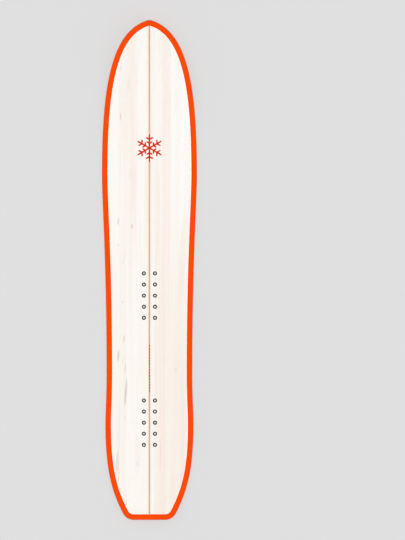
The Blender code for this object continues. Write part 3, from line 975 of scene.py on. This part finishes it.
edge_film = SETBACK + FILM_SETBACK
sidewall_film_end = SIDEWALL_REACH - GLASS  # just short of the lower laminate's step down
seam_top = raised(DECK_TOP, -FILL_SINK)
filled("glue_bead_base", EDGE_WIDTH, base_inset, FILL_SINK, TRAY_UNDER, RESIN)
filled("glue_bead_edge", edge_film, LEDGE_REACH, EDGE_TOP, LEDGE_UNDER, RESIN)
filled("glue_bead_sidewall", edge_film, sidewall_film_end, LEDGE_TOP, SIDE_UNDER, RESIN)
filled("seam_bead_rim", RIM_WIDTH, veneer_inset, DECK_UNDER, seam_top, SEAM_RESIN)
seam = layer([(veneer_inset, DECK_UNDER)], [(veneer_inset, seam_top)])
right_seam = trimmed(trimmed(seam, X, stripe_side, 1), X, stripe_side + BOND, -1)
left_seam = mirrored(right_seam)
piece("seam_bead_stripe_right", right_seam, SEAM_RESIN)
piece("seam_bead_stripe_left", left_seam, SEAM_RESIN)


# Threaded inserts
def turned(profile, sides):
    """A body of revolution from the middle of its underside to the middle of its bore.

    Each corner is a radius, a level and how much of the thread's depth is added there.
    """
    mesh = bmesh.new()
    rings = []
    for radius, level, thread in profile:
        ring = []
        for side in range(sides):
            tooth = 1 - abs(2 * ((level / THREAD_PITCH - side / sides) % 1) - 1)
            reach = radius + thread * THREAD_DEPTH * tooth
            angle = math.tau * side / sides
            ring.append(mesh.verts.new((reach * math.cos(angle), reach * math.sin(angle), level)))
        rings.append(ring)
    for first, second in zip(rings, rings[1:]):
        bridge(mesh, first, second)
    mesh.faces.new(rings[0])
    mesh.faces.new(rings[-1])
    return turned_out(mesh)


def threaded_insert():
    """A flange at the foot, a barrel as high as the core, and a threaded bore that has a floor."""
    top = CORE_THICKNESS
    chamfer = INSERT_CHAMFER
    bore_floor = top - INSERT_BORE_DEPTH
    flange, barrel, bore = INSERT_FLANGE / 2, INSERT_BARREL / 2, INSERT_BORE / 2
    rim = INSERT_FLANGE_THICKNESS
    profile = [
        (flange - chamfer, 0, 0),
        (flange, chamfer, 0),
        (flange, rim - chamfer, 0),
        (flange - chamfer, rim, 0),
        (barrel + chamfer, rim, 0),
        (barrel, rim + chamfer, 0),
        (barrel, top - chamfer / 2, 0),
        (barrel - chamfer / 2, top, 0),
        (bore + THREAD_DEPTH + chamfer, top, 0),
    ]
    thread_length = INSERT_BORE_DEPTH - 2 * chamfer
    rows = round(thread_length / THREAD_PITCH * THREAD_ROWS)
    for row in range(rows + 1):
        profile.append((bore, top - chamfer - row / rows * thread_length, 1))
    profile += [(bore, bore_floor, 0), (bore / 2, bore_floor, 0)]
    return turned(profile, ROUND_SIDES // 2)


insert_mesh = threaded_insert()
for name, x, y in insert_places():
    body = insert_mesh.copy()
    place = Matrix.Translation((x, y, height(CORE_UNDER, y)))
    bmesh.ops.transform(body, matrix=place, verts=body.verts)
    made_of("insert_steel", "threaded_insert_" + name, body, "insert_" + name)
insert_mesh.free()


# Prints and inlays
def ring_marks():
    """The dark rings printed on the deck round the holes."""
    mesh = bmesh.new()
    inner = DECK_HOLE / 2 + RING_MARGIN
    for _, x, y in insert_places():
        rings = []
        for radius, level in (
            (inner, FLAT_DECK),
            (inner, FLAT_DECK + PRINT_HEIGHT),
            (inner + RING_WIDTH, FLAT_DECK + PRINT_HEIGHT),
            (inner + RING_WIDTH, FLAT_DECK),
        ):
            turns = [math.tau * side / ROUND_SIDES for side in range(ROUND_SIDES)]
            rings.append([
                mesh.verts.new((x + radius * math.cos(turn), y + radius * math.sin(turn), level))
                for turn in turns
            ])
        for step, ring in enumerate(rings):
            bridge(mesh, rings[step - 1], ring)
    return turned_out(mesh)


piece("insert_ring_marks", ring_marks(), RING_INK)


def draped(outlines, level, way):
    """Flat shapes laid on the board as a thin print, following its curve along the length.

    A way of 1 lays them on top and -1 on the underside.
    """
    mesh = bmesh.new()
    for outline in outlines:
        mesh.faces.new([mesh.verts.new((x, y, 0)) for x, y in outline])
    ends = [vert.co.y for vert in mesh.verts]
    bend = min(ends) + DRAPE_STEP
    while bend < max(ends):
        cut(mesh, Y, bend)
        bend += DRAPE_STEP
    for vert in mesh.verts:
        vert.co.z = height(level, vert.co.y)
    raised_part = bmesh.ops.extrude_face_region(mesh, geom=mesh.faces[:])["geom"]
    for vert in [item for item in raised_part if isinstance(item, bmesh.types.BMVert)]:
        vert.co.z += way * PRINT_HEIGHT
    return turned_out(in_order(mesh))


DECK_MOTIF_PLACE = Vector((0.0, 0.440))
DECK_MOTIF_REACH = 0.050
DECK_MOTIF_STROKE = 0.0056
BASE_MOTIF_PLACE = Vector((0.0, 0.505))
BASE_MOTIF_REACH = 0.0695
BASE_MOTIF_STROKE = 0.006
MOTIF_ARMS = 6
MOTIF_TILT = math.radians(60)  # between a branch and its arm, and between two arms
MOTIF_BRANCHES = ((0.34, 0.19), (0.62, 0.24))  # where on an arm, and how long, in parts of the arm


def round_end(middle, way, half):
    """Points round the end of a stroke, from its right side to its left."""
    side = Vector((-way.y, way.x))
    points = []
    for step in range(PRINT_END_STEPS + 1):
        turn = math.pi * step / PRINT_END_STEPS
        points.append(middle - side * half * math.cos(turn) + way * half * math.sin(turn))
    return points


def snowflake(centre, reach, stroke):
    """Outline of a plain six-armed snowflake with a pair of branches at two places on each arm."""
    half = stroke / 2
    ahead = Vector((1, 0))
    way = Vector((math.cos(MOTIF_TILT), math.sin(MOTIF_TILT)))
    left = []
    for root_share, length_share in MOTIF_BRANCHES:
        root = reach * root_share
        tip = Vector((root, 0)) + way * (reach * length_share)
        inner = Vector((root - half * math.tan(MOTIF_TILT / 2), half))
        outer = Vector((root + half * math.tan(MOTIF_TILT), half))
        left += [inner] + round_end(tip, way, half)[::-1] + [outer]
    right = [Vector((point.x, -point.y)) for point in left]
    notch = Vector((half / math.tan(MOTIF_TILT / 2), -half))
    arm = [notch] + right + round_end(ahead * (reach - half), ahead, half) + left[::-1]
    points = []
    for turn in range(MOTIF_ARMS):
        angle = math.radians(90 + 360 / MOTIF_ARMS * turn)
        cos, sin = math.cos(angle), math.sin(angle)
        points += [centre + Vector((p.x * cos - p.y * sin, p.x * sin + p.y * cos)) for p in arm]
    return points


deck_motif = snowflake(DECK_MOTIF_PLACE, DECK_MOTIF_REACH, DECK_MOTIF_STROKE)
piece("deck_snowflake", draped([deck_motif], DECK_TOP, 1), MOTIF_INK)
base_motif = snowflake(BASE_MOTIF_PLACE, BASE_MOTIF_REACH, BASE_MOTIF_STROKE)
piece("base_snowflake", draped([base_motif], 0.0, -1), BASE_INLAY)

TICKS_FROM = -0.270
TICKS_TO = -0.439
TICK_PITCH = 0.0108
TICK_LENGTH = 0.0078
TICK_WIDTH = 0.0044


def tick(y):
    side = TICK_WIDTH / 2
    return [(-side, y - TICK_LENGTH), (side, y - TICK_LENGTH), (side, y), (-side, y)]


tick_count = round((TICKS_FROM - TICKS_TO) / TICK_PITCH)
ticks = [tick(TICKS_FROM - TICK_PITCH * step) for step in range(tick_count)]
piece("stripe_ticks", draped(ticks, DECK_TOP, 1), TICK_INK)

# Floor, light and camera
FLOOR_COLOUR = shade(224, 224, 224)
FLOOR_REACH = 60.0
SHADOW_SEEN = 0.50  # how much of the floor's shading the camera sees
WORLD_LIGHT = 0.38
TOP_SHARE = 0.56  # of the light on a level surface, from the lamp overhead
TOP_WIDTH = math.radians(12)
SIDE_SHARE = 0.03  # the same from each lamp at the sides
SIDE_TILT = math.radians(62)
SIDE_WIDTH = math.radians(40)
SIDE_TURNS = (math.radians(50), math.radians(230))
LENS = 900.0
SENSOR = 36.0
VIEW_HEIGHT = 1.9470
CAMERA_PLACE = (0.1913, 0.0003)


def floor():
    mesh = bmesh.new()
    bmesh.ops.create_grid(mesh, x_segments=1, y_segments=1, size=FLOOR_REACH)
    finish = Finish("floor", roughness=0.9, specular=0.0)
    finish.shader.inputs["Base Color"].default_value = FLOOR_COLOUR
    finish.bump(finish.noise(300.0, 300.0), depth=0.00005, strength=0.1)
    plain = finish.node("ShaderNodeEmission", {"Color": FLOOR_COLOUR, "Strength": 1.0})
    seen = finish.node("ShaderNodeLightPath").outputs["Is Camera Ray"]
    share = finish.math("MULTIPLY", seen, 1 - SHADOW_SEEN)
    both = {0: share, 1: finish.shader.outputs[0], 2: plain.outputs[0]}
    mix = finish.node("ShaderNodeMixShader", both)
    surface = finish.tree.nodes["Material Output"].inputs["Surface"]
    finish.tree.links.new(mix.outputs[0], surface)
    made = placed("floor", mesh_data("floor", mesh))
    made.data.materials.append(finish.material)


def world():
    """Even light from all round. What the camera and shiny surfaces see of it is floor-coloured."""
    made = bpy.data.worlds.new("studio")
    made.use_nodes = True
    tree = made.node_tree
    tree.nodes.clear()
    light = tree.nodes.new("ShaderNodeBackground")
    light.inputs["Color"].default_value = (1, 1, 1, 1)
    light.inputs["Strength"].default_value = WORLD_LIGHT
    seen = tree.nodes.new("ShaderNodeBackground")
    seen.inputs["Color"].default_value = FLOOR_COLOUR
    seen.inputs["Strength"].default_value = 1.0
    path = tree.nodes.new("ShaderNodeLightPath")
    total = path.outputs["Is Camera Ray"]
    for kind in ("Is Glossy Ray", "Is Transmission Ray"):
        either = tree.nodes.new("ShaderNodeMath")
        either.operation = "MAXIMUM"
        tree.links.new(total, either.inputs[0])
        tree.links.new(path.outputs[kind], either.inputs[1])
        total = either.outputs[0]
    mix = tree.nodes.new("ShaderNodeMixShader")
    out = tree.nodes.new("ShaderNodeOutputWorld")
    tree.links.new(total, mix.inputs[0])
    tree.links.new(light.outputs[0], mix.inputs[1])
    tree.links.new(seen.outputs[0], mix.inputs[2])
    tree.links.new(mix.outputs[0], out.inputs["Surface"])
    bpy.context.scene.world = made


def lamp(name, share, width, tilt, turn):
    """A far, wide lamp that gives a level surface this share of its light."""
    light = bpy.data.lights.new(name, "SUN")
    light.energy = share * math.pi / math.cos(tilt)
    light.angle = width
    made = placed(name, light)
    made.rotation_euler = (tilt, 0, turn)
    return made


def lamps():
    """A soft lamp overhead, left out of reflections, and a weak one at each side."""
    overhead = lamp("overhead_lamp", TOP_SHARE, TOP_WIDTH, 0, 0)
    overhead.visible_glossy = False
    for step, turn in enumerate(SIDE_TURNS):
        lamp(f"side_lamp_{step + 1}", SIDE_SHARE, SIDE_WIDTH, SIDE_TILT, turn)


def camera():
    """A very long lens straight above the board, so that the view is all but parallel."""
    lens = bpy.data.cameras.new("camera")
    lens.lens = LENS
    lens.sensor_width = SENSOR
    distance = VIEW_HEIGHT * LENS / SENSOR
    lens.clip_start = 1.0
    lens.clip_end = distance * 2
    made = placed("camera", lens)
    made.location = (*CAMERA_PLACE, distance)
    bpy.context.scene.camera = made


floor()
world()
lamps()
camera()
bpy.context.scene.view_settings.view_transform = "Standard"
